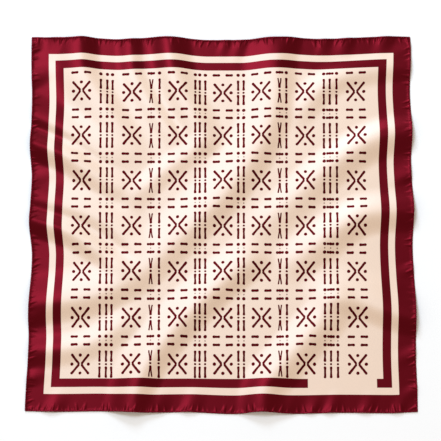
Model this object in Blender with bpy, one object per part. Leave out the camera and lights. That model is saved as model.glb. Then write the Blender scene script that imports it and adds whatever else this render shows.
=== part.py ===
"""A square silk-satin scarf, laid flat on a surface in soft diagonal folds.

+X runs to the right along the front edge, +Y away from the viewer and +Z up. The origin is the middle of
the laid square, on the surface that it rests on. The cloth is one closed wall: between its folds its
underside lies at z = 0. Four rolled hems close its edges, mitred at the corners.
"""

import math
from collections import namedtuple

import bmesh
import bpy
import numpy as np

MM = 0.001

# The cut, and how it lies.
CUT_SIDE = 900 * MM  # side of the square as cut and hemmed, before it is laid
LAID_SIDE = 893 * MM  # corner to corner as it lies, once the folds have taken up their share
CLOTH_WALL = 1.2 * MM
PANEL_CELLS = 44  # cells of the cloth along each side

# The rolled hem. The panel stops short of it by the seam gap.
HEM_WIDTH = 4.0 * MM
HEM_HEIGHT = 2.6 * MM
HEM_SIDES = 8
SEAM_GAP = 0.3 * MM

CREST_STEPS = 8  # straight steps between two points of a fold's crest

CREAM = (0.93, 0.85, 0.74)
WINE = (0.21, 0.012, 0.032)

# One row for each fold. The crest runs through its points, in mm on the laid square, and lifts holds the
# cloth's height there, in mm. The fold spreads soft_side mm to the left of its crest and steep_side mm to
# the right, seen along the crest. A crest that starts or ends with no lift fades out inside the cloth.
Fold = namedtuple("Fold", "name crest lifts soft_side steep_side")
FOLDS = (
    Fold(
        "long sweep",
        (
            (-470, -205), (-361, -190), (-290, -176), (-215, -141), (-150, -92), (-42, 12), (36, 98),
            (100, 200), (126, 290), (130, 365), (126, 470),
        ),
        (12, 13, 12, 10, 9, 12, 13, 12, 12, 11, 10),
        84,
        54,
    ),
    Fold(
        "lower diagonal",
        ((-205, -470), (-180, -360), (-110, -262), (-30, -178), (50, -108), (125, -48)),
        (15, 15, 14, 14, 12, 0),
        72,
        50,
    ),
    Fold(
        "front right",
        ((95, -470), (105, -391), (154, -327), (215, -260), (269, -202), (307, -167)),
        (14, 14, 13, 12, 8, 0),
        66,
        54,
    ),
    Fold(
        "right front",
        ((190, -215), (255, -181), (320, -190), (385, -215), (470, -238)),
        (0, 10, 13, 14, 14),
        84,
        48,
    ),
    Fold(
        "right middle",
        ((125, -140), (170, -98), (228, -54), (292, -7), (350, 18), (470, 26)),
        (0, 6, 11, 14, 15, 15),
        60,
        56,
    ),
    Fold(
        "right upper",
        ((20, -70), (110, 0), (180, 62), (243, 120), (318, 172), (385, 203), (470, 216)),
        (0, 5, 8, 11, 14, 15, 15),
        56,
        58,
    ),
    Fold(
        "left upper",
        ((-470, 196), (-366, 156), (-323, 128), (-280, 101), (-225, 78), (-175, 60)),
        (15, 14, 12, 9, 6, 0),
        44,
        46,
    ),
    Fold(
        "left upper echo",
        ((-470, 268), (-367, 220), (-319, 190), (-272, 158), (-215, 118)),
        (7.5, 7.5, 6.5, 4.5, 0),
        60,
        32,
    ),
    Fold(
        "left middle",
        ((-470, 10), (-363, -24), (-317, -50), (-275, -78), (-243, -100), (-200, -130)),
        (13, 12, 10.5, 9, 6, 0),
        38,
        42,
    ),
    Fold(
        "left middle echo",
        ((-470, 62), (-364, 35), (-315, 20), (-258, -8), (-208, -50), (-170, -85)),
        (6.5, 7, 7, 6, 5, 0),
        60,
        38,
    ),
    Fold(
        "left front",
        ((-470, -310), (-359, -302), (-290, -285), (-240, -255), (-170, -205)),
        (6, 7, 7, 5.5, 0),
        44,
        44,
    ),
    Fold(
        "back left",
        ((-170, 120), (-208, 172), (-246, 233), (-290, 303), (-325, 365), (-334, 470)),
        (0, 5, 8.5, 11, 13, 14),
        84,
        48,
    ),
    Fold(
        "back inner",
        ((-80, 160), (-108, 198), (-135, 236), (-175, 296), (-206, 365), (-214, 470)),
        (0, 4, 5.5, 5.5, 5.5, 6.5),
        40,
        30,
    ),
    Fold(
        "back middle",
        ((-38, 150), (-45, 195), (-58, 240), (-88, 300), (-112, 365), (-128, 470)),
        (0, 6, 9, 10.5, 12, 12),
        54,
        56,
    ),
    Fold(
        "centre left",
        ((-225, 0), (-190, 62), (-145, 108), (-95, 146), (-45, 182), (0, 215)),
        (0, 4, 5, 5, 4, 0),
        38,
        38,
    ),
    Fold(
        "back right",
        ((150, 215), (192, 272), (240, 325), (290, 352), (380, 368), (470, 374)),
        (0, 5, 8, 8, 7, 7),
        50,
        44,
    ),
)

# How each edge waves out of and into the laid square's straight side. The turns are its furthest points:
# mm along from the middle, to the right or away from the viewer, and mm outwards. The wave is felt for so
# many mm into the cloth.
Edge = namedtuple("Edge", "turns felt")
FRONT_EDGE = Edge(
    (
        (-446, -0.5), (-380, 1.2), (-280, -0.3), (-188, 4.4), (-80, 1.8), (30, 6.2), (92, 3), (160, 5.8),
        (275, 3.4), (385, 4.4), (446, 1.5),
    ),
    110,
)
RIGHT_EDGE = Edge(
    (
        (-446, 1.5), (-405, 1.4), (-320, -0.3), (-215, 2.1), (-65, -3.4), (25, 1.2), (135, -3.5),
        (215, 0.5), (310, -3.1), (415, 0.9), (446, 0),
    ),
    220,
)
BACK_EDGE = Edge(
    (
        (-446, -0.5), (-352, -3.4), (-325, -2), (-232, -6.3), (-160, -1.7), (-105, -2.3), (-30, -7.9),
        (45, -7.9), (125, -2.4), (160, -1.7), (232, -5.1), (410, 1.2), (446, 0.2),
    ),
    280,
)
LEFT_EDGE = Edge(
    (
        (-446, 0), (-280, -6), (-225, -4), (-85, -10), (-5, -2.5), (100, -6.6), (175, -1.2),
        (275, -4.2), (400, -0.3), (446, -0.3),
    ),
    220,
)


def ease(t):
    """Smooth step from 0 to 1."""
    t = np.clip(t, 0, 1)
    return t * t * (3 - 2 * t)


def crest_line(fold):
    """The fold's crest as a smooth line: rows of x, y and lift, in metres."""
    knots = np.column_stack([np.array(fold.crest, float), fold.lifts]) * MM
    knots = np.vstack([2 * knots[0] - knots[1], knots, 2 * knots[-1] - knots[-2]])
    knots[[0, -1], 2] = knots[[2, -3], 2]  # level at both ends, so that a fold fades out without a kink
    t = np.linspace(0, 1, CREST_STEPS, endpoint=False)[:, None]
    spans = []
    for a, b, c, d in zip(knots, knots[1:], knots[2:], knots[3:]):
        bend = (2 * a - 5 * b + 4 * c - d) * t**2 + (3 * (b - c) + d - a) * t**3
        spans.append(b + 0.5 * ((c - a) * t + bend))
    line = np.vstack(spans + [knots[-2]])
    line[:, 2] = np.maximum(line[:, 2], 0)
    return line


def fold_height(fold, x, y):
    """How far one fold lifts the cloth at (x, y)."""
    line = crest_line(fold)
    nearest = np.full(x.shape, np.inf)
    height = np.zeros(x.shape)
    for (ax, ay, a_lift), (bx, by, b_lift) in zip(line, line[1:]):
        run_x = bx - ax
        run_y = by - ay
        along = np.clip(((x - ax) * run_x + (y - ay) * run_y) / (run_x**2 + run_y**2), 0, 1)
        off_x = x - ax - along * run_x
        off_y = y - ay - along * run_y
        distance = np.hypot(off_x, off_y)
        left = run_x * off_y - run_y * off_x > 0
        spread = np.where(left, fold.soft_side, fold.steep_side) * MM
        lift = a_lift + (b_lift - a_lift) * along
        closer = distance < nearest
        nearest = np.where(closer, distance, nearest)
        bump = 0.5 + 0.5 * np.cos(math.pi * np.minimum(distance / spread, 1))
        height = np.where(closer, lift * bump, height)
    return height


def cloth_height(x, y):
    """Height of the cloth's underside above the surface."""
    return sum(fold_height(fold, x, y) for fold in FOLDS)


def edge_wave(edge, along, depth):
    """How far out a wavy edge pushes the cloth at places along it, at a depth into the cloth."""
    places, outs = np.array(edge.turns, float).T * MM
    before = np.clip(np.searchsorted(places, along) - 1, 0, len(places) - 2)
    t = ease((along - places[before]) / (places[before + 1] - places[before]))
    return (outs[before] + (outs[before + 1] - outs[before]) * t) * ease(1 - depth / (edge.felt * MM))


def lay(u, v):
    """Where a point (u, v) of the flat cut comes to lie: x, y and the height of the underside."""
    x = u * LAID_SIDE / CUT_SIDE
    y = v * LAID_SIDE / CUT_SIDE
    half = LAID_SIDE / 2
    shift_x = edge_wave(RIGHT_EDGE, y, half - x) - edge_wave(LEFT_EDGE, y, half + x)
    shift_y = edge_wave(BACK_EDGE, x, half - y) - edge_wave(FRONT_EDGE, x, half + y)
    return x + shift_x, y + shift_y, cloth_height(x, y)


def satin(name, colour, roughness):
    """A cloth finish in one colour."""
    finish = bpy.data.materials.new(name)
    finish.use_nodes = True
    shader = finish.node_tree.nodes["Principled BSDF"]
    shader.inputs["Base Color"].default_value = (*colour, 1)
    shader.inputs["Roughness"].default_value = roughness
    shader.inputs["Metallic"].default_value = 0
    return finish


def add_piece(name, bm, finish):
    """Turn a bmesh into a named, smooth-shaded object of the scene."""
    mesh = bpy.data.meshes.new(name)
    bm.to_mesh(mesh)
    bm.free()
    mesh.materials.append(finish)
    mesh.shade_smooth()
    piece = bpy.data.objects.new(name, mesh)
    bpy.context.scene.collection.objects.link(piece)
    return piece


def make_panel():
    """The square of cloth inside the hems: its underside as a grid, thickened upwards."""
    half = CUT_SIDE / 2 - HEM_WIDTH - SEAM_GAP
    bm = bmesh.new()
    bmesh.ops.create_grid(bm, x_segments=PANEL_CELLS, y_segments=PANEL_CELLS, size=half)
    flat = np.array([vert.co[:2] for vert in bm.verts])
    for vert, place in zip(bm.verts, np.column_stack(lay(flat[:, 0], flat[:, 1]))):
        vert.co = place
    panel = add_piece("panel", bm, satin("cream_satin", CREAM, 0.4))
    wall = panel.modifiers.new("wall", "SOLIDIFY")
    wall.thickness = CLOTH_WALL
    wall.offset = 1
    return panel


def hem_profile():
    """The rolled edge across: pairs of distance in from the cut edge and height, flat below."""
    half_angle = math.pi / HEM_SIDES
    angles = half_angle + 2 * half_angle * np.arange(HEM_SIDES)
    inward = HEM_WIDTH / 2 * (1 + np.cos(angles) / math.cos(half_angle))
    height = HEM_HEIGHT / 2 * (1 + np.sin(angles) / math.cos(half_angle))
    return inward, height


def make_hem(name, quarter_turns, finish):
    """One rolled hem, along the front edge and then turned about the middle of the square."""
    inward, height = hem_profile()
    panel_half = CUT_SIDE / 2 - HEM_WIDTH - SEAM_GAP
    stations = np.linspace(-panel_half, panel_half, PANEL_CELLS + 1)
    stations[[0, -1]] = -CUT_SIDE / 2, CUT_SIDE / 2
    mitre = CUT_SIDE / 2 - inward - SEAM_GAP / math.sqrt(2)
    bm = bmesh.new()
    rings = []
    for station in stations:
        u = np.clip(station, -mitre, mitre)
        v = inward - CUT_SIDE / 2
        for _ in range(quarter_turns):
            u, v = -v, u
        x, y, z = lay(u, v)
        rings.append([bm.verts.new(place) for place in zip(x, y, z + height)])
    for ring, following in zip(rings, rings[1:]):
        for k in range(HEM_SIDES):
            after = (k + 1) % HEM_SIDES
            bm.faces.new((ring[k], ring[after], following[after], following[k]))
    bm.faces.new(rings[0])
    bm.faces.new(rings[-1])
    bmesh.ops.recalc_face_normals(bm, faces=bm.faces)
    return add_piece(name, bm, finish)


for old in list(bpy.data.objects):
    bpy.data.objects.remove(old, do_unlink=True)

make_panel()
wine_satin = satin("wine_satin", WINE, 0.4)
for turns, side in enumerate(("front", "right", "back", "left")):
    make_hem(f"hem_{side}", turns, wine_satin)
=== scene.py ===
"""A square silk-satin scarf, printed in wine red on cream, laid flat in soft diagonal folds."""

import math
from collections import namedtuple

import bmesh
import bpy
import numpy as np
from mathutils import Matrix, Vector


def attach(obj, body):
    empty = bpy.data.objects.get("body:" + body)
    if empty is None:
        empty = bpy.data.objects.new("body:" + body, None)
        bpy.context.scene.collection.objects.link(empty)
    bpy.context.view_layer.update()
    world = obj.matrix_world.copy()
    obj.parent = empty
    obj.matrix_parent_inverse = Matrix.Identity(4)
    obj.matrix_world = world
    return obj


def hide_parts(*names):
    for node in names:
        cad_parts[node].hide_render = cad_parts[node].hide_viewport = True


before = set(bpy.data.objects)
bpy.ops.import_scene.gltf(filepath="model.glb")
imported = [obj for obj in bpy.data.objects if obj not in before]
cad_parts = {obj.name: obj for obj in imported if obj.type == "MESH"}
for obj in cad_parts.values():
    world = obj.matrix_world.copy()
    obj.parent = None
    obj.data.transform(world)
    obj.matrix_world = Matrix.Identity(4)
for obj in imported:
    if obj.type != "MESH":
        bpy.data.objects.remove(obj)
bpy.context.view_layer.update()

# ---------------------------------------------------------------------------------------------------
# The camera
# It looks down on the laid scarf from its front edge, a little off upright, through a long lens from far
# off, so that the sides of the square stay close to parallel.

CAMERA_TILT = math.radians(13.66)
CAMERA_DISTANCE = 5.891
CAMERA_LENS = 207.6
CAMERA_SENSOR = 36.0
CAMERA_AIM = Vector((-0.001, 0.001, 0.0))

camera = bpy.data.objects.new("camera", bpy.data.cameras.new("camera"))
camera.data.lens = CAMERA_LENS
camera.data.sensor_width = CAMERA_SENSOR
camera.rotation_euler = (CAMERA_TILT, 0, 0)
camera.location = CAMERA_AIM + CAMERA_DISTANCE * Vector((0, -math.sin(CAMERA_TILT), math.cos(CAMERA_TILT)))
bpy.context.scene.collection.objects.link(camera)
bpy.context.scene.camera = camera

# ---------------------------------------------------------------------------------------------------
# How the cloth lies
# One square of silk satin, laid down and let go. Its folds run in from the edges, most of them gentler on
# one side of the crest than on the other, and the edges wave where the folds end.

MM = 0.001
CUT_SIDE = 900 * MM  # side of the square as cut and hemmed, before it is laid
LAID_SIDE = 893 * MM  # corner to corner as it lies, once the folds have taken up their share
HALF_LAID = LAID_SIDE / 2
CREST_STEPS = 8  # straight steps between two points of a fold's crest

# One row for each fold. The crest runs through its points, in mm on the laid square, and lifts holds the
# cloth's height there, in mm. The fold spreads soft_side mm to the left of its crest and steep_side mm to
# the right, seen along the crest. A crest that starts or ends with no lift fades out inside the cloth.
Fold = namedtuple("Fold", "name crest lifts soft_side steep_side")
FOLDS = (
    Fold(
        "long sweep",
        (
            (-470, -205), (-361, -190), (-290, -176), (-215, -141), (-150, -92), (-42, 12), (36, 98),
            (100, 200), (126, 290), (130, 365), (126, 470),
        ),
        (12, 13, 12, 10, 9, 12, 13, 12, 12, 11, 10),
        84,
        54,
    ),
    Fold(
        "lower diagonal",
        ((-205, -470), (-180, -360), (-110, -262), (-30, -178), (50, -108), (125, -48)),
        (15, 15, 14, 14, 12, 0),
        72,
        50,
    ),
    Fold(
        "front right",
        ((95, -470), (105, -391), (154, -327), (215, -260), (269, -202), (307, -167)),
        (14, 14, 13, 12, 8, 0),
        66,
        54,
    ),
    Fold(
        "right front",
        ((190, -215), (255, -181), (320, -190), (385, -215), (470, -238)),
        (0, 10, 13, 14, 14),
        84,
        48,
    ),
    Fold(
        "right middle",
        ((125, -140), (170, -98), (228, -54), (292, -7), (350, 18), (470, 26)),
        (0, 6, 11, 14, 15, 15),
        60,
        56,
    ),
    Fold(
        "right upper",
        ((20, -70), (110, 0), (180, 62), (243, 120), (318, 172), (385, 203), (470, 216)),
        (0, 5, 8, 11, 14, 15, 15),
        56,
        58,
    ),
    Fold(
        "left upper",
        ((-470, 196), (-366, 156), (-323, 128), (-280, 101), (-225, 78), (-175, 60)),
        (15, 14, 12, 9, 6, 0),
        44,
        46,
    ),
    Fold(
        "left upper echo",
        ((-470, 268), (-367, 220), (-319, 190), (-272, 158), (-215, 118)),
        (7.5, 7.5, 6.5, 4.5, 0),
        60,
        32,
    ),
    Fold(
        "left middle",
        ((-470, 10), (-363, -24), (-317, -50), (-275, -78), (-243, -100), (-200, -130)),
        (13, 12, 10.5, 9, 6, 0),
        38,
        42,
    ),
    Fold(
        "left middle echo",
        ((-470, 62), (-364, 35), (-315, 20), (-258, -8), (-208, -50), (-170, -85)),
        (6.5, 7, 7, 6, 5, 0),
        60,
        38,
    ),
    Fold(
        "left front",
        ((-470, -310), (-359, -302), (-290, -285), (-240, -255), (-170, -205)),
        (6, 7, 7, 5.5, 0),
        44,
        44,
    ),
    Fold(
        "back left",
        ((-170, 120), (-208, 172), (-246, 233), (-290, 303), (-325, 365), (-334, 470)),
        (0, 5, 8.5, 11, 13, 14),
        84,
        48,
    ),
    Fold(
        "back inner",
        ((-80, 160), (-108, 198), (-135, 236), (-175, 296), (-206, 365), (-214, 470)),
        (0, 4, 5.5, 5.5, 5.5, 6.5),
        40,
        30,
    ),
    Fold(
        "back middle",
        ((-38, 150), (-45, 195), (-58, 240), (-88, 300), (-112, 365), (-128, 470)),
        (0, 6, 9, 10.5, 12, 12),
        54,
        56,
    ),
    Fold(
        "centre left",
        ((-225, 0), (-190, 62), (-145, 108), (-95, 146), (-45, 182), (0, 215)),
        (0, 4, 5, 5, 4, 0),
        38,
        38,
    ),
    Fold(
        "back right",
        ((150, 215), (192, 272), (240, 325), (290, 352), (380, 368), (470, 374)),
        (0, 5, 8, 8, 7, 7),
        50,
        44,
    ),
)

# Low ripples where the hem's stitches pull the cloth in, in mm. Each crest runs straight from its foot at
# the edge to its tip inside, where it fades out. The two sides are as on a fold.
Ripple = namedtuple("Ripple", "foot tip lift soft_side steep_side")
RIPPLES = (
    Ripple((-388, 452), (-420, 360), 3.0, 24, 26),
    Ripple((14, 452), (-8, 392), 2.0, 22, 14),
    Ripple((52, 452), (22, 372), 2.6, 22, 26),
    Ripple((168, 452), (150, 360), 4.5, 30, 36),
    Ripple((246, 452), (226, 388), 2.2, 24, 16),
    Ripple((300, 452), (276, 380), 3.2, 26, 30),
    Ripple((390, 452), (362, 384), 3.0, 28, 24),
    Ripple((452, 424), (384, 402), 3.0, 22, 22),
    Ripple((452, 116), (380, 86), 4.0, 22, 40),
    Ripple((452, -108), (392, -124), 2.2, 26, 16),
    Ripple((452, -308), (384, -336), 3.0, 24, 26),
    Ripple((452, -390), (396, -416), 2.4, 24, 18),
    Ripple((-390, -452), (-356, -380), 3.4, 26, 34),
    Ripple((-158, -452), (-130, -368), 5.0, 26, 42),
    Ripple((-78, -452), (-48, -374), 3.4, 26, 34),
    Ripple((140, -452), (168, -370), 4.5, 30, 38),
    Ripple((204, -452), (226, -396), 2.4, 24, 16),
    Ripple((244, -452), (270, -386), 3.0, 20, 26),
    Ripple((326, -452), (350, -390), 2.6, 26, 20),
    Ripple((398, -452), (420, -398), 2.2, 24, 18),
    Ripple((-452, 420), (-396, 446), 3.0, 22, 24),
    Ripple((-452, 338), (-376, 384), 4.0, 26, 30),
    Ripple((-452, 92), (-382, 118), 2.6, 22, 24),
    Ripple((-452, -238), (-376, -212), 3.0, 20, 26),
    Ripple((-452, -376), (-384, -350), 3.0, 26, 24),
)


def ease(t):
    """Smooth step from 0 to 1."""
    t = np.clip(t, 0, 1)
    return t * t * (3 - 2 * t)


def crest_line(fold):
    """The fold's crest as a smooth line: rows of x, y and lift, in metres."""
    knots = np.column_stack([np.array(fold.crest, float), fold.lifts]) * MM
    knots = np.vstack([2 * knots[0] - knots[1], knots, 2 * knots[-1] - knots[-2]])
    knots[[0, -1], 2] = knots[[2, -3], 2]
    t = np.linspace(0, 1, CREST_STEPS, endpoint=False)[:, None]
    spans = []
    for a, b, c, d in zip(knots, knots[1:], knots[2:], knots[3:]):
        bend = (2 * a - 5 * b + 4 * c - d) * t**2 + (3 * (b - c) + d - a) * t**3
        spans.append(b + 0.5 * ((c - a) * t + bend))
    line = np.vstack(spans + [knots[-2]])
    line[:, 2] = np.maximum(line[:, 2], 0)
    return line


def add_fold(fold, x, y, height):
    """Lift the heights at (x, y) by one fold."""
    line = crest_line(fold)
    reach = max(fold.soft_side, fold.steep_side) * MM
    low = line[:, :2].min(0) - reach
    high = line[:, :2].max(0) + reach
    near = (x > low[0]) & (x < high[0]) & (y > low[1]) & (y < high[1])
    px = x[near]
    py = y[near]
    nearest = np.full(len(px), np.inf)
    added = np.zeros(len(px))
    for (ax, ay, a_lift), (bx, by, b_lift) in zip(line, line[1:]):
        run_x = bx - ax
        run_y = by - ay
        along = np.clip(((px - ax) * run_x + (py - ay) * run_y) / (run_x**2 + run_y**2), 0, 1)
        off_x = px - ax - along * run_x
        off_y = py - ay - along * run_y
        distance = np.hypot(off_x, off_y)
        spread = np.where(run_x * off_y - run_y * off_x > 0, fold.soft_side, fold.steep_side) * MM
        bump = 0.5 + 0.5 * np.cos(math.pi * np.minimum(distance / spread, 1))
        closer = distance < nearest
        added = np.where(closer, (a_lift + (b_lift - a_lift) * along) * bump, added)
        nearest = np.where(closer, distance, nearest)
    height[near] += added


def cloth_height(x, y):
    """Height of the cloth's underside above the surface."""
    height = np.zeros(x.shape)
    for fold in FOLDS:
        add_fold(fold, x, y, height)
    for ripple in RIPPLES:
        crest = (ripple.foot, ripple.tip)
        lifts = (ripple.lift, 0)
        add_fold(Fold("ripple", crest, lifts, ripple.soft_side, ripple.steep_side), x, y, height)
    return height


# How each edge waves out of and into the square's straight side: its furthest points, as mm along from
# the middle and mm outwards, and how far into the cloth the wave is felt.
Edge = namedtuple("Edge", "turns felt")
FRONT_EDGE = Edge(
    (
        (-446, -0.5), (-380, 1.2), (-280, -0.3), (-188, 4.4), (-80, 1.8), (30, 6.2), (92, 3), (160, 5.8),
        (275, 3.4), (385, 4.4), (446, 1.5),
    ),
    110,
)
RIGHT_EDGE = Edge(
    (
        (-446, 1.5), (-405, 1.4), (-320, -0.3), (-215, 2.1), (-65, -3.4), (25, 1.2), (135, -3.5),
        (215, 0.5), (310, -3.1), (415, 0.9), (446, 0),
    ),
    220,
)
BACK_EDGE = Edge(
    (
        (-446, -0.5), (-352, -3.4), (-325, -2), (-232, -6.3), (-160, -1.7), (-105, -2.3), (-30, -7.9),
        (45, -7.9), (125, -2.4), (160, -1.7), (232, -5.1), (410, 1.2), (446, 0.2),
    ),
    280,
)
LEFT_EDGE = Edge(
    (
        (-446, 0), (-280, -6), (-225, -4), (-85, -10), (-5, -2.5), (100, -6.6), (175, -1.2),
        (275, -4.2), (400, -0.3), (446, -0.3),
    ),
    220,
)
CORNER_ROUND = 3 * MM


def edge_wave(edge, along, depth):
    """How far out a wavy edge pushes the cloth at places along it, at a depth into the cloth."""
    places, outs = np.array(edge.turns, float).T * MM
    before = np.clip(np.searchsorted(places, along) - 1, 0, len(places) - 2)
    t = ease((along - places[before]) / (places[before + 1] - places[before]))
    return (outs[before] + (outs[before + 1] - outs[before]) * t) * ease(1 - depth / (edge.felt * MM))


def round_corners(x, y):
    """Bend the last few millimetres of each corner of the square into a quarter circle."""
    far_x = np.clip((np.abs(x) - HALF_LAID) / CORNER_ROUND + 1, 0, None)
    far_y = np.clip((np.abs(y) - HALF_LAID) / CORNER_ROUND + 1, 0, None)
    back_x = far_x * (1 - np.sqrt(np.clip(1 - far_y**2 / 2, 0, 1)))
    back_y = far_y * (1 - np.sqrt(np.clip(1 - far_x**2 / 2, 0, 1)))
    return x - np.sign(x) * back_x * CORNER_ROUND, y - np.sign(y) * back_y * CORNER_ROUND


def lay(u, v):
    """Where points (u, v) of the flat cut come to lie: x, y and the height of the underside."""
    x = u * LAID_SIDE / CUT_SIDE
    y = v * LAID_SIDE / CUT_SIDE
    height = cloth_height(x, y)
    shift_x = edge_wave(RIGHT_EDGE, y, HALF_LAID - x) - edge_wave(LEFT_EDGE, y, HALF_LAID + x)
    shift_y = edge_wave(BACK_EDGE, x, HALF_LAID - y) - edge_wave(FRONT_EDGE, x, HALF_LAID + y)
    x, y = round_corners(x, y)
    return x + shift_x, y + shift_y, height


# ---------------------------------------------------------------------------------------------------
# The panel
# The square of silk satin inside the hems: a face and a back on one grid, joined round their edge, and cut
# finer along the hems, where the stitches pucker the face. Its print is colour in the cloth.

HEM_WIDTH = 4.0 * MM
HEM_HEIGHT = 2.6 * MM
CLOTH_THICKNESS = 0.35 * MM
PANEL_INSET = 0.6 * HEM_WIDTH  # how far in from the cut edge the panel's own edge is hidden in the roll
PANEL_HALF = CUT_SIDE / 2 - PANEL_INSET
PANEL_CELLS = 170
MARGIN_CELLS = 3  # cells along each hem that are cut finer
FACE_MARGIN_CUTS = 3
BACK_MARGIN_CUTS = 1
EDGE_RISE = 0.5 * MM  # the roll of the hem holds the cloth's edge a little off the surface
EDGE_RISE_DEPTH = 9 * MM
STITCH_PITCH = 6 * MM
PUCKER_LIFT = 0.8 * MM  # the small puckers, one for each stitch
PUCKER_DEPTH = 16 * MM
GATHER_LIFT = 1.5 * MM  # the larger ones, where a tight stitch gathers the cloth for its neighbours too
GATHER_DEPTH = 26 * MM
GATHER_LEAST = 0.35  # the share of that depth that the weakest of them reaches

# Hand sewing is never even. How it strays along a hem is a sum of swings, each with its size, its pace in
# radians a metre, and how far on it starts at each next hem.
Swing = namedtuple("Swing", "size pace start")
STITCH_SWINGS = (Swing(0.35, 31, 2.1), Swing(0.2, 83, 4.7))  # in stitches
MEAN_PULL = 0.55  # how strongly the stitches pull, from 0 to 1
PULL_SWINGS = (Swing(0.22, 23, 1.7), Swing(0.16, 67, 3.9), Swing(0.18, 331, 2.3))
MEAN_GATHER = 0.2
GATHER_RANGE = 2.4  # what the gathers' swings are shared over
GATHER_SWINGS = (Swing(0.9, 431, 1.3), Swing(0.8, 337, 2.9), Swing(0.5, 113, 1.0))
MEAN_LEAN = 0.12  # how far a pucker leans along the hem for each step inwards
LEAN_SWINGS = (Swing(0.3, 59, 2.7),)


def stray(swings, side, along):
    """How far hand sewing strays from its mean at a place along a hem."""
    return sum(swing.size * np.sin(along * swing.pace + side * swing.start) for swing in swings)


def stitch_phase(side, along):
    """Which stitch lies at a place along a hem: it grows by one a stitch, a little unevenly."""
    return along / STITCH_PITCH + stray(STITCH_SWINGS, side, along)


def pucker_strength(side, along):
    """How strongly the stitches pull along a hem, from loose to tight."""
    return MEAN_PULL + stray(PULL_SWINGS, side, along)


def gathering(side, along):
    """The larger puckers' shape along a hem, from 0 between them to about 1 at the tightest stitches."""
    return ease(MEAN_GATHER + stray(GATHER_SWINGS, side, along) / GATHER_RANGE)


def lean_way(side):
    """Which way along its hem a lean runs, so that on all four it follows the same diagonal of the square."""
    return 1 if side % 2 else -1


def hem_places(u, v):
    """For points of the flat cut, each hem in turn: its number, how far in from it and how far along it."""
    yield 0, v + CUT_SIDE / 2, u
    yield 1, CUT_SIDE / 2 - u, v
    yield 2, CUT_SIDE / 2 - v, -u
    yield 3, u + CUT_SIDE / 2, -v


def margin_relief(u, v):
    """Small lifts beside the hems: the rise onto the roll and the puckers between the stitches."""
    rim = CUT_SIDE / 2 - np.maximum(np.abs(u), np.abs(v))
    relief = EDGE_RISE * ease(1 - rim / EDGE_RISE_DEPTH)
    for side, inward, along in hem_places(u, v):
        lean = MEAN_LEAN + stray(LEAN_SWINGS, side, along)
        foot = along + lean_way(side) * lean * inward
        pull = pucker_strength(side, foot)
        swell = 0.5 - 0.5 * np.cos(2 * math.pi * stitch_phase(side, foot))
        relief += PUCKER_LIFT * pull * swell * ease(1 - inward / (PUCKER_DEPTH * pull))
        gather = gathering(side, foot)
        depth = GATHER_DEPTH * (GATHER_LEAST + (1 - GATHER_LEAST) * gather)
        relief += GATHER_LIFT * gather * ease(1 - inward / depth)
    return relief


def new_piece(name, bm, *finishes):
    """Turn a bmesh into a named, smooth-shaded object of the scene."""
    mesh = bpy.data.meshes.new(name)
    bm.to_mesh(mesh)
    bm.free()
    for finish in finishes:
        mesh.materials.append(finish)
    mesh.shade_smooth()
    piece = bpy.data.objects.new(name, mesh)
    bpy.context.scene.collection.objects.link(piece)
    return piece


def flat_square(margin_cuts):
    """The panel's square in the flat, as a grid, with its margin cut finer."""
    bm = bmesh.new()
    bmesh.ops.create_grid(bm, x_segments=PANEL_CELLS, y_segments=PANEL_CELLS, size=PANEL_HALF)
    cell = 2 * PANEL_HALF / PANEL_CELLS
    inner = PANEL_HALF - (MARGIN_CELLS + 0.25) * cell  # just inside the margin's innermost edges
    margin = []
    for edge in bm.edges:
        middle = (edge.verts[0].co + edge.verts[1].co) / 2
        if max(abs(middle.x), abs(middle.y)) > inner:
            margin.append(edge)
    bmesh.ops.subdivide_edges(bm, edges=margin, cuts=margin_cuts, use_grid_fill=True)
    bmesh.ops.triangulate(bm, faces=[face for face in bm.faces if len(face.verts) > 4])
    return bm


# How the face and the back share one square picture, when their colours are baked: each takes a square of
# this scale, whose corner nearest to the picture's own is at this place along both sides.
Patch = namedtuple("Patch", "scale corner")
FACE_PATCH = Patch(0.86, 0.005)
BACK_PATCH = Patch(0.125, 0.87)


def lay_square(bm, lift, patch, with_relief):
    """Lay a flat square down into the folds, and keep where each corner was on the flat cut."""
    flat = np.array([vert.co[:2] for vert in bm.verts])
    u, v = flat.T
    x, y, z = lay(u, v)
    z = z + lift
    if with_relief:
        z = z + margin_relief(u, v)
    cloth = bm.loops.layers.uv.new("cloth")
    bake = bm.loops.layers.uv.new("OFBake")
    bm.verts.index_update()
    for face in bm.faces:
        for loop in face.loops:
            place = flat[loop.vert.index] / CUT_SIDE + 0.5
            loop[cloth].uv = place
            loop[bake].uv = place * patch.scale + patch.corner
    for vert, place in zip(bm.verts, np.column_stack((x, y, z))):
        vert.co = place


def new_group(name, inputs, outputs):
    """A shader node group: its tree, the sockets that bring values in and those that take them out."""
    tree = bpy.data.node_groups.new(name, "ShaderNodeTree")
    for label, kind in inputs.items():
        tree.interface.new_socket(label, in_out="INPUT", socket_type="NodeSocket" + kind)
    for label, kind in outputs.items():
        tree.interface.new_socket(label, in_out="OUTPUT", socket_type="NodeSocket" + kind)
    return tree, tree.nodes.new("NodeGroupInput").outputs, tree.nodes.new("NodeGroupOutput").inputs


def feed(tree, socket, value):
    """Give a node's input a value, or a link from another node's output."""
    if isinstance(value, bpy.types.NodeSocket):
        tree.links.new(value, socket)
    else:
        socket.default_value = value


def work_out(tree, operation, *values, clamp=False):
    """A Math node and its result."""
    node = tree.nodes.new("ShaderNodeMath")
    node.operation = operation
    node.use_clamp = clamp
    for socket, value in zip(node.inputs, values):
        feed(tree, socket, value)
    return node.outputs[0]


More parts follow.
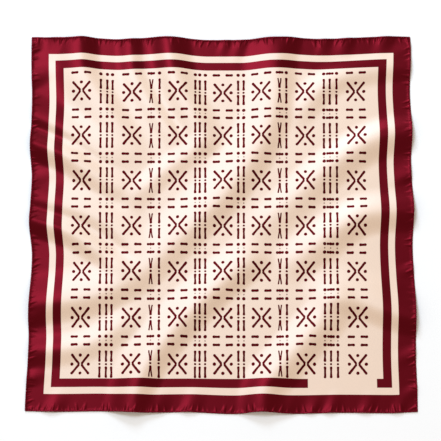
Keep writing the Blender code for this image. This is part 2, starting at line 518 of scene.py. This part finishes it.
def work_vector(tree, operation, *values, scale=None):
    """A Vector Math node and its result, a number for a length or a dot product."""
    node = tree.nodes.new("ShaderNodeVectorMath")
    node.operation = operation
    for socket, value in zip(node.inputs, values):
        feed(tree, socket, value)
    if scale is not None:
        feed(tree, node.inputs["Scale"], scale)
    return node.outputs["Value" if operation in ("LENGTH", "DOT_PRODUCT") else "Vector"]


def place_group(tree, group, **values):
    """A node that holds a group, with its inputs set by name, and its outputs."""
    node = tree.nodes.new("ShaderNodeGroup")
    node.node_tree = group
    for label, value in values.items():
        feed(tree, node.inputs[label.replace("_", " ")], value)
    return node.outputs


def soft_step(tree, value, low, high):
    """1 below low, 0 above high, and smooth between them."""
    node = tree.nodes.new("ShaderNodeMapRange")
    node.interpolation_type = "SMOOTHSTEP"
    feed(tree, node.inputs["Value"], value)
    feed(tree, node.inputs["From Min"], low)
    feed(tree, node.inputs["From Max"], high)
    node.inputs["To Min"].default_value = 1
    node.inputs["To Max"].default_value = 0
    return node.outputs["Result"]


def noise(tree, place, scale=1.0, detail=2.0, roughness=0.5, output="Fac"):
    """A noise texture over a place vector: its value, or its colour."""
    node = tree.nodes.new("ShaderNodeTexNoise")
    feed(tree, node.inputs["Vector"], place)
    node.inputs["Scale"].default_value = scale
    node.inputs["Detail"].default_value = detail
    node.inputs["Roughness"].default_value = roughness
    return node.outputs[output]


def vary(tree, mask, amount, middle=1.0):
    """A number that a mask from 0 to 1 moves round its middle, by half the amount each way."""
    return work_out(tree, "MULTIPLY_ADD", mask, amount, middle - amount / 2)


# The print, in mm on the flat cut from its middle. A wine band runs along the hems, then come a cream
# stripe and a narrow wine stripe, which is left open for a stretch near the front right corner.
HALF_CUT = CUT_SIDE / MM / 2
BAND = 41.8
STRIPE_START = 57.5
STRIPE_END = 77.3
OPEN_STRETCH = (200.0, 358.0)
OPEN_MARGIN = 2.0  # how far past the stripe's inner side the open stretch is cleared
PRINT_SOFTNESS = 0.25

# The repeat of crosses, bars, dots and dashes, in the manner of mud cloth. Seven crosses stand in a row,
# with a group of bars between each two, and the rows follow each other at one pitch. A group's row gives
# the way from the cross before it to its first bar, the steps from bar to bar, and the way to the next
# cross.
ROW_PITCH = 109.2
FIRST_ROW = 315.6  # the middle line of the row at the back
FIRST_CROSS = -328.3  # the middle line of the crosses on the left
REPEAT_SPREAD = 2e-5  # how much wider the repeat runs for each mm towards the back edge
Group = namedtuple("Group", "kind before steps after")
GROUPS = (
    Group("triple", 46.0, (15.3, 12.5), 45.9),
    Group("fork", 45.0, (19.5,), 43.0),
    Group("triple", 41.0, (10.5, 13.0), 41.0),
    Group("double", 36.0, (13.0,), 41.0),
    Group("fork", 43.0, (16.0,), 44.0),
    Group("dashed triple", 44.0, (14.0, 16.0), 46.0),
)

# Where the marks' ends lie, in mm out from the middle line of their column and up from that of their row.
CROSS_TIP = (4.2, 2.4)  # each half of a cross is a bracket with a blunt tip, whose corner this is
CROSS_ARM = (19.2, 20.8)
BAR_SPAN = (8.2, 29.0)
DASH_ROW = 45.0
BETWEEN_ROWS = ROW_PITCH / 2
DOT_LENGTH = 0.01
FAINT = 0.7  # how strongly the small dots between the rows are printed
BRUSH_SWELL = 4.0  # the power by which a stroke thickens or thins towards its ends

# One row for each kind of mark, with its widths at its start, its waist and its end, in mm.
Stroke = namedtuple("Stroke", "column start end start_width waist_width end_width faint", defaults=(False,))


def dot(column, middle, width, faint=False):
    """A round mark: a stroke of next to no length."""
    return Stroke(column, middle, (middle[0] + DOT_LENGTH, middle[1]), width, width, width, faint)


MARKS = (
    Stroke("cross", (CROSS_TIP[0], 0), CROSS_TIP, 5.0, 5.0, 5.0),
    Stroke("cross", CROSS_TIP, CROSS_ARM, 5.6, 5.4, 6.4),
    dot("cross", (19.6, 0), 8.0),
    dot("cross", (0, 20.5), 7.6),
    Stroke("cross", (9.6, DASH_ROW), (20.6, DASH_ROW), 6.8, 5.6, 6.8),
    Stroke("bar", (0, BAR_SPAN[0]), (0, BAR_SPAN[1]), 6.2, 4.4, 6.4),
    Stroke("fork", (0.3, BAR_SPAN[0]), (3.4, BAR_SPAN[1]), 5.6, 3.2, 3.4),
    dot("bar", (0, 0), 5.3),
    dot("fork", (0, 0), 5.6),
    dot("dot", (0, DASH_ROW), 8.2),
    dot("dash", (0, DASH_ROW), 7.4),
    Stroke("dash", (0, DASH_ROW), (6.0, DASH_ROW), 5.8, 5.4, 6.8),
    dot("bar", (0, BETWEEN_ROWS), 3.8, faint=True),
    dot("fork", (0, BETWEEN_ROWS), 3.8, faint=True),
)


def chart_columns():
    """Where the marks stand across the cloth: the middles of the crosses, bars, forks, dots and dashes."""
    columns = {"cross": [FIRST_CROSS], "bar": [], "fork": [], "dot": [], "dash": []}
    at = FIRST_CROSS
    for group in GROUPS:
        at += group.before
        for k, step in enumerate((*group.steps, group.after)):
            forked = group.kind == "fork" and k == 0
            dashed = forked or (group.kind == "dashed triple" and k == 1)
            columns["fork" if forked else "bar"].append(at)
            columns["dash" if dashed else "dot"].append(at)
            at += step
        columns["cross"].append(at)
    return columns


def make_stroke_group():
    """A brushed stroke from one point to another, thicker or thinner at its ends than at its waist."""
    tree, given, result = new_group(
        "Brush stroke",
        {
            "Place": "Vector",
            "Start": "Vector",
            "End": "Vector",
            "Start Width": "Float",
            "Waist Width": "Float",
            "End Width": "Float",
        },
        {"Ink": "Float"},
    )
    run = work_vector(tree, "SUBTRACT", given["End"], given["Start"])
    off = work_vector(tree, "SUBTRACT", given["Place"], given["Start"])
    reach = work_vector(tree, "DOT_PRODUCT", run, run)
    along = work_out(tree, "DIVIDE", work_vector(tree, "DOT_PRODUCT", off, run), reach, clamp=True)
    gap = work_vector(
        tree, "LENGTH", work_vector(tree, "SUBTRACT", off, work_vector(tree, "SCALE", run, scale=along))
    )
    width = given["Waist Width"]
    for end, share in (("Start Width", work_out(tree, "SUBTRACT", 1.0, along)), ("End Width", along)):
        swell = work_out(tree, "SUBTRACT", given[end], given["Waist Width"])
        width = work_out(tree, "MULTIPLY_ADD", work_out(tree, "POWER", share, BRUSH_SWELL), swell, width)
    half = work_out(tree, "MULTIPLY", width, 0.5)
    low = work_out(tree, "SUBTRACT", half, PRINT_SOFTNESS)
    high = work_out(tree, "ADD", half, PRINT_SOFTNESS)
    tree.links.new(soft_step(tree, gap, low, high), result["Ink"])
    return tree


stroke_group = make_stroke_group()


def nearest_column(tree, across, places):
    """How far the nearest of some columns is."""
    nearest = None
    for place in places:
        gap = work_out(tree, "ABSOLUTE", work_out(tree, "SUBTRACT", across, place))
        nearest = gap if nearest is None else work_out(tree, "MINIMUM", nearest, gap)
    return nearest


def make_repeat_group():
    """The repeat's marks. Each is drawn once, folded over its column's and its row's middle lines."""
    tree, given, result = new_group("Mud cloth repeat", {"Across": "Float", "Up": "Float"}, {"Ink": "Float"})
    beside = work_out(tree, "SUBTRACT", given["Up"], FIRST_ROW)
    row = work_out(tree, "PINGPONG", beside, ROW_PITCH / 2)
    places = {}
    for column, middles in chart_columns().items():
        spot = tree.nodes.new("ShaderNodeCombineXYZ")
        tree.links.new(nearest_column(tree, given["Across"], middles), spot.inputs["X"])
        tree.links.new(row, spot.inputs["Y"])
        places[column] = spot.outputs["Vector"]
    followed = soft_step(tree, beside, DASH_ROW, DASH_ROW + 1)  # no row stands behind the first
    faint = work_out(tree, "MULTIPLY", followed, FAINT)
    ink = 0.0
    for mark in MARKS:
        made = place_group(
            tree,
            stroke_group,
            Place=places[mark.column],
            Start=(*mark.start, 0),
            End=(*mark.end, 0),
            Start_Width=mark.start_width,
            Waist_Width=mark.waist_width,
            End_Width=mark.end_width,
        )["Ink"]
        if mark.faint:
            made = work_out(tree, "MULTIPLY", made, faint)
        ink = work_out(tree, "MAXIMUM", ink, made)
    tree.links.new(ink, result["Ink"])
    return tree


def make_frame_group():
    """The printed frame: the band along the hems and the narrow stripe, open for one stretch."""
    tree, given, result = new_group(
        "Printed frame", {"Across": "Float", "Up": "Float"}, {"Wine": "Float", "Field": "Float"}
    )
    sideways = work_out(tree, "ABSOLUTE", given["Across"])
    upright = work_out(tree, "ABSOLUTE", given["Up"])
    inward = work_out(tree, "SUBTRACT", HALF_CUT, work_out(tree, "MAXIMUM", sideways, upright))

    def below(value, edge):
        return soft_step(tree, value, edge - PRINT_SOFTNESS, edge + PRINT_SOFTNESS)

    band = below(inward, BAND)
    stripe = work_out(tree, "SUBTRACT", below(inward, STRIPE_END), below(inward, STRIPE_START))
    front = below(given["Up"], STRIPE_END + OPEN_MARGIN - HALF_CUT)
    stretch = work_out(
        tree, "SUBTRACT", below(given["Across"], OPEN_STRETCH[1]), below(given["Across"], OPEN_STRETCH[0])
    )
    closed = work_out(tree, "SUBTRACT", 1.0, work_out(tree, "MULTIPLY", front, stretch))
    stripe = work_out(tree, "MULTIPLY", stripe, closed)
    tree.links.new(work_out(tree, "MAXIMUM", band, stripe), result["Wine"])
    tree.links.new(work_out(tree, "SUBTRACT", 1.0, below(inward, STRIPE_END)), result["Field"])
    return tree


# The grain of the weave: how many times it changes in each mm across the warp's streaks and along them.
WARP_GRAIN = (2.2, 0.12, 1.0)
WEFT_GRAIN = (0.10, 1.6, 1.0)
CLOUD_GRAIN = (0.02, 0.02, 1.0)
WEFT_SHARE = 0.5  # how high the weft stands beside the warp


def make_satin_group():
    """Satin's long floats: fine warp streaks, crossed by a fainter weft, and a slow cloudiness."""
    tree, given, result = new_group(
        "Satin weave", {"Place": "Vector"}, {"Height": "Float", "Streak": "Float", "Cloud": "Float"}
    )

    def grain(steps, **kind):
        return noise(tree, work_vector(tree, "MULTIPLY", given["Place"], steps), **kind)

    warp = grain(WARP_GRAIN, detail=3.0, roughness=0.6)
    tree.links.new(work_out(tree, "MULTIPLY_ADD", grain(WEFT_GRAIN), WEFT_SHARE, warp), result["Height"])
    tree.links.new(warp, result["Streak"])
    tree.links.new(grain(CLOUD_GRAIN), result["Cloud"])
    return tree


repeat_group = make_repeat_group()
frame_group = make_frame_group()
satin_group = make_satin_group()

CREAM = (0.778, 0.551, 0.393, 1)
WINE = (0.117, 0.0036, 0.0084, 1)
INK = (0.082, 0.0010, 0.0030, 1)
DYED_SHINE = 0.995  # how much of the dyed satin's shine takes the dye's colour
DYED_GLOSS = 0.13  # how much smoother the dyed satin is than the cream
SATIN_IOR = 2.6  # above silk's own, for the shine that its long floats give
FACE_ROUGHNESS = 0.52
FACE_PRINT = 1.0
BACK_ROUGHNESS = 0.62
BACK_PRINT = 0.8  # how strongly the print shows on the back
STREAK_SHADE = 0.10  # how much the colour varies with the streaks of the warp
CLOUD_SHADE = 0.06
CLOUD_WEAR = 0.06  # how much the roughness varies with the cloudiness
WEAVE_DEPTH = 0.05 * MM
WEAVE_STRENGTH = 0.35
PRINT_SWAY = 2.2  # how far the marks stray from their grid, in mm from one side to the other
SWAY_GRAIN = 0.09


def new_finish(name):
    """A material, its tree and its Principled shader."""
    finish = bpy.data.materials.new(name)
    finish.use_nodes = True
    return finish, finish.node_tree, finish.node_tree.nodes["Principled BSDF"]


def blend_colours(tree, share, first, second):
    """A Mix node between two colours."""
    node = tree.nodes.new("ShaderNodeMix")
    node.data_type = "RGBA"
    feed(tree, node.inputs["Factor"], share)
    feed(tree, node.inputs["A"], first)
    feed(tree, node.inputs["B"], second)
    return node.outputs["Result"]


def split_axes(tree, place):
    """A place vector's X and Y."""
    node = tree.nodes.new("ShaderNodeSeparateXYZ")
    tree.links.new(place, node.inputs["Vector"])
    return node.outputs["X"], node.outputs["Y"]


def raise_weave(tree, shader, height, strength, depth):
    """The relief of the weave on a satin's surface."""
    bump = tree.nodes.new("ShaderNodeBump")
    bump.inputs["Strength"].default_value = strength
    bump.inputs["Distance"].default_value = depth
    tree.links.new(height, bump.inputs["Height"])
    tree.links.new(bump.outputs["Normal"], shader.inputs["Normal"])


def printed_satin(name, roughness, print_strength):
    """The panel's satin with its print, read from where each spot lay on the flat cut."""
    finish, tree, shader = new_finish(name)
    cut = tree.nodes.new("ShaderNodeUVMap")
    cut.uv_map = "cloth"
    place = work_vector(tree, "SUBTRACT", cut.outputs["UV"], (0.5, 0.5, 0))
    place = work_vector(tree, "SCALE", place, scale=CUT_SIDE / MM)
    across, up = split_axes(tree, place)
    printed = place_group(tree, frame_group, Across=across, Up=up)
    sway = work_vector(tree, "SUBTRACT", noise(tree, place, SWAY_GRAIN, output="Color"), (0.5, 0.5, 0.5))
    swayed = work_vector(tree, "ADD", place, work_vector(tree, "SCALE", sway, scale=PRINT_SWAY))
    across, up = split_axes(tree, swayed)
    spread = work_out(tree, "MULTIPLY_ADD", up, -REPEAT_SPREAD, 1.0)
    repeat = place_group(tree, repeat_group, Across=work_out(tree, "MULTIPLY", across, spread), Up=up)
    ink_share = work_out(tree, "MULTIPLY", repeat["Ink"], printed["Field"])
    ink_share = work_out(tree, "MULTIPLY", ink_share, print_strength)
    wine_share = work_out(tree, "MULTIPLY", printed["Wine"], print_strength)
    colour = blend_colours(tree, wine_share, CREAM, WINE)
    colour = blend_colours(tree, ink_share, colour, INK)
    weave = place_group(tree, satin_group, Place=place)
    shade = vary(tree, weave["Streak"], STREAK_SHADE)
    shade = work_out(tree, "MULTIPLY", shade, vary(tree, weave["Cloud"], CLOUD_SHADE))
    tree.links.new(work_vector(tree, "SCALE", colour, scale=shade), shader.inputs["Base Color"])
    worn = vary(tree, weave["Cloud"], CLOUD_WEAR, roughness)
    worn = work_out(tree, "MULTIPLY_ADD", wine_share, -DYED_GLOSS, worn)
    tree.links.new(worn, shader.inputs["Roughness"])
    dyed = work_out(tree, "MAXIMUM", wine_share, ink_share)
    tree.links.new(work_out(tree, "MULTIPLY", dyed, DYED_SHINE), shader.inputs["Metallic"])
    raise_weave(tree, shader, weave["Height"], WEAVE_STRENGTH, WEAVE_DEPTH)
    shader.inputs["IOR"].default_value = SATIN_IOR
    return finish


def make_panel():
    """The face and the back of the square, joined round their edge inside the roll of the hems."""
    bm = flat_square(FACE_MARGIN_CUTS)
    lay_square(bm, CLOTH_THICKNESS, FACE_PATCH, with_relief=True)
    back = flat_square(BACK_MARGIN_CUTS)
    lay_square(back, 0, BACK_PATCH, with_relief=False)
    for face in back.faces:
        face.material_index = 1
        face.normal_flip()
    loose = bpy.data.meshes.new("back")
    back.to_mesh(loose)
    back.free()
    bm.from_mesh(loose)
    bpy.data.meshes.remove(loose)
    bmesh.ops.bridge_loops(bm, edges=[edge for edge in bm.edges if edge.is_boundary])
    face_satin = printed_satin("printed_satin", FACE_ROUGHNESS, FACE_PRINT)
    back_satin = printed_satin("printed_satin_back", BACK_ROUGHNESS, BACK_PRINT)
    return new_piece("panel_cloth", bm, face_satin, back_satin)


panel = make_panel()
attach(panel, "root")
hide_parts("panel")

# ---------------------------------------------------------------------------------------------------
# The rolled hems
# Each edge of the satin is rolled over itself by hand and caught down with slanting stitches, which pinch
# the roll and pucker the cloth beside it. The rolls meet at the corners.

SIDE_NAMES = ("front", "right", "back", "left")
HEM_SIDES = 14
HEM_STEP = 0.9 * MM
HEM_PINCH = 0.3  # how much a full pull narrows the roll
HEM_TWIST = 0.35  # how far the pinches slant round the roll, in stitches
# The rolls' wine is lighter than the band's: painted light, for the light that catches the top of each roll.
HEM_WINE_PAINTED_LIGHTER = (0.140, 0.0050, 0.0130, 1)
HEM_ROUGHNESS = 0.42
HEM_GLINT = 0.2
HEM_STREAK = 0.30  # how much the colour varies with the streaks
HEM_WEAR = 0.10  # how much the roughness varies with the cloudiness
HEM_WEAVE_DEPTH = 0.08 * MM
HEM_WEAVE_STRENGTH = 0.4


def on_cut(side, inward, along):
    """The flat cut's (u, v) of a place beside a hem."""
    u = along
    v = inward - CUT_SIDE / 2
    for _ in range(side):
        u, v = -v, u
    return u, v


def hem_satin(name, colour, roughness):
    """The satin of the rolls and of their thread: the wine it is given, with the streaks of its weave."""
    finish, tree, shader = new_finish(name)
    coordinates = tree.nodes.new("ShaderNodeTexCoord")
    place = work_vector(tree, "SCALE", coordinates.outputs["Object"], scale=1 / MM)
    weave = place_group(tree, satin_group, Place=place)
    shade = vary(tree, weave["Streak"], HEM_STREAK)
    tree.links.new(work_vector(tree, "SCALE", colour[:3], scale=shade), shader.inputs["Base Color"])
    tree.links.new(vary(tree, weave["Cloud"], HEM_WEAR, roughness), shader.inputs["Roughness"])
    raise_weave(tree, shader, weave["Height"], HEM_WEAVE_STRENGTH, HEM_WEAVE_DEPTH)
    shader.inputs["Metallic"].default_value = DYED_SHINE
    shader.inputs["Specular IOR Level"].default_value = HEM_GLINT
    return finish


def roll_surface(side, along, turn, clear=0.0):
    """A point on a hem's roll, or a little clear of it, given how far along and its turn round the roll."""
    phase = stitch_phase(side, along) + HEM_TWIST * np.sin(turn)
    pinch = 1 - HEM_PINCH * pucker_strength(side, along) * (0.5 + 0.5 * np.cos(2 * math.pi * phase))
    across = HEM_WIDTH / 2 + (HEM_WIDTH / 2 * pinch + clear) * np.cos(turn)
    height = HEM_HEIGHT / 2 + (HEM_HEIGHT / 2 * pinch + clear) * np.sin(turn)
    reach = CUT_SIDE / 2 - across
    u, v = on_cut(side, across, np.clip(along, -reach, reach))
    x, y, z = lay(u, v)
    return np.stack((x, y, z + height), -1)


def skin_rings(bm, rings):
    """A closed tube over rings of points."""
    rings = [[bm.verts.new(place) for place in ring] for ring in rings]
    sides = len(rings[0])
    for ring, following in zip(rings, rings[1:]):
        for k in range(sides):
            after = (k + 1) % sides
            bm.faces.new((ring[k], ring[after], following[after], following[k]))
    bm.faces.new(rings[0])
    bm.faces.new(rings[-1])


def make_hem(side, finish):
    """One edge's roll, a puckered tube that ends in the mitres of the two corners."""
    stations = np.linspace(-CUT_SIDE / 2, CUT_SIDE / 2, round(CUT_SIDE / HEM_STEP) + 1)
    turns = 2 * math.pi * np.arange(HEM_SIDES) / HEM_SIDES
    along, turn = np.meshgrid(stations, turns, indexing="ij")
    bm = bmesh.new()
    skin_rings(bm, roll_surface(side, along, turn))
    bmesh.ops.recalc_face_normals(bm, faces=bm.faces)
    return new_piece(f"hem_roll_{SIDE_NAMES[side]}", bm, finish)


# The rolls' satin, in the wine that is painted lighter for the light on the top of each roll.
roll_satin_painted_light = hem_satin("wine_hem", HEM_WINE_PAINTED_LIGHTER, HEM_ROUGHNESS)
rolls = [make_hem(side, roll_satin_painted_light) for side in range(len(SIDE_NAMES))]
for roll, side_name in zip(rolls, SIDE_NAMES):
    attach(roll, "root")
    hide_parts(f"hem_{side_name}")

# ---------------------------------------------------------------------------------------------------
# The hem stitches
# One short slanting stitch of wine silk thread at each pinch, from the top of the roll down into the
# cloth beside it.

THREAD = 0.42 * MM
THREAD_SIDES = 6
STITCH_TURNS = (1.9, 1.4, 0.95, 0.5)  # where it passes round the roll, in radians from the inner side
STITCH_LANDING = ((4.7, 0.6), (5.4, -0.3))  # then mm in from the cut edge, and mm over the cloth's face
STITCH_SLANT = 1.6 * MM
THREAD_WINE = (0.150, 0.006, 0.014, 1)
THREAD_ROUGHNESS = 0.5


def cloth_face(side, inward, along, above):
    """A point over the panel's face beside a hem."""
    u, v = on_cut(side, inward, along)
    x, y, z = lay(u, v)
    return np.stack((x, y, z + CLOTH_THICKNESS + margin_relief(u, v) + above), -1)


def add_thread(bm, path):
    """A thin round thread along a path of points."""
    ahead = np.gradient(path, axis=0)
    ahead /= np.linalg.norm(ahead, axis=1)[:, None]
    across = np.cross(ahead, (0, 0, 1))
    across /= np.linalg.norm(across, axis=1)[:, None]
    over = np.cross(across, ahead)
    turns = 2 * math.pi * np.arange(THREAD_SIDES) / THREAD_SIDES
    spokes = np.cos(turns)[:, None, None] * across + np.sin(turns)[:, None, None] * over
    skin_rings(bm, (path + THREAD / 2 * spokes).swapaxes(0, 1))


def make_stitches(finish):
    """All the stitches of the four hems in one mesh."""
    bm = bmesh.new()
    turns = np.array(STITCH_TURNS)
    inwards, heights = np.array(STITCH_LANDING).T * MM
    steps = np.linspace(-0.5, 0.5, len(turns) + len(inwards)) * STITCH_SLANT
    stations = np.arange(-CUT_SIDE / 2, CUT_SIDE / 2, MM)
    for side in range(len(SIDE_NAMES)):
        phases = stitch_phase(side, stations)
        middles = np.interp(np.arange(math.ceil(phases[0]) + 1, phases[-1]), phases, stations)
        along = middles[:, None] - lean_way(side) * steps
        up, down = np.split(along, [len(turns)], axis=1)
        on_roll = roll_surface(side, up, turns + 0 * up, THREAD / 2)
        on_cloth = cloth_face(side, inwards + 0 * down, down, heights)
        for path in np.concatenate((on_roll, on_cloth), axis=1):
            add_thread(bm, path)
    bmesh.ops.recalc_face_normals(bm, faces=bm.faces)
    return new_piece("hem_stitches", bm, finish)


stitches = make_stitches(hem_satin("wine_thread", THREAD_WINE, THREAD_ROUGHNESS))
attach(stitches, "root")

# ---------------------------------------------------------------------------------------------------
# The surface and the light
# A plain white table in a bright white room, under two soft lights: a high one from the upper left and a
# lower one from behind, which rakes over the folds.

TABLE_REACH = 20.0
TABLE_WHITE = (0.95, 0.95, 0.95, 1)
TABLE_ROUGHNESS = 0.9
TABLE_GLINT = 0.1

bm = bmesh.new()
bmesh.ops.create_grid(bm, x_segments=1, y_segments=1, size=TABLE_REACH)
white, _, white_shader = new_finish("white_table")
white_shader.inputs["Base Color"].default_value = TABLE_WHITE
white_shader.inputs["Roughness"].default_value = TABLE_ROUGHNESS
white_shader.inputs["Specular IOR Level"].default_value = TABLE_GLINT
table = new_piece("table", bm, white)


def add_light(name, place, size, power):
    """A round soft light that faces the middle of the scarf."""
    light = bpy.data.objects.new(name, bpy.data.lights.new(name, "AREA"))
    light.data.shape = "DISK"
    light.data.size = size
    light.data.energy = power
    light.data.color = LIGHT_COLOUR
    light.location = place
    light.rotation_euler = (-light.location).to_track_quat("-Z", "Y").to_euler()
    bpy.context.scene.collection.objects.link(light)


LIGHT_COLOUR = (0.796, 1.0, 1.233)
ROOM_COLOUR = (1.0, 0.875, 0.734, 1)
ROOM_STRENGTH = 0.689

add_light("key_light", place=(-1.67, 2.14, 5.35), size=2.3, power=122)
add_light("back_light", place=(-1.5, 5.45, 2.95), size=2.0, power=185)

world = bpy.data.worlds.new("room")
world.use_nodes = True
background = world.node_tree.nodes["Background"]
background.inputs["Color"].default_value = ROOM_COLOUR
background.inputs["Strength"].default_value = ROOM_STRENGTH
bpy.context.scene.world = world
bpy.context.scene.view_settings.view_transform = "Standard"
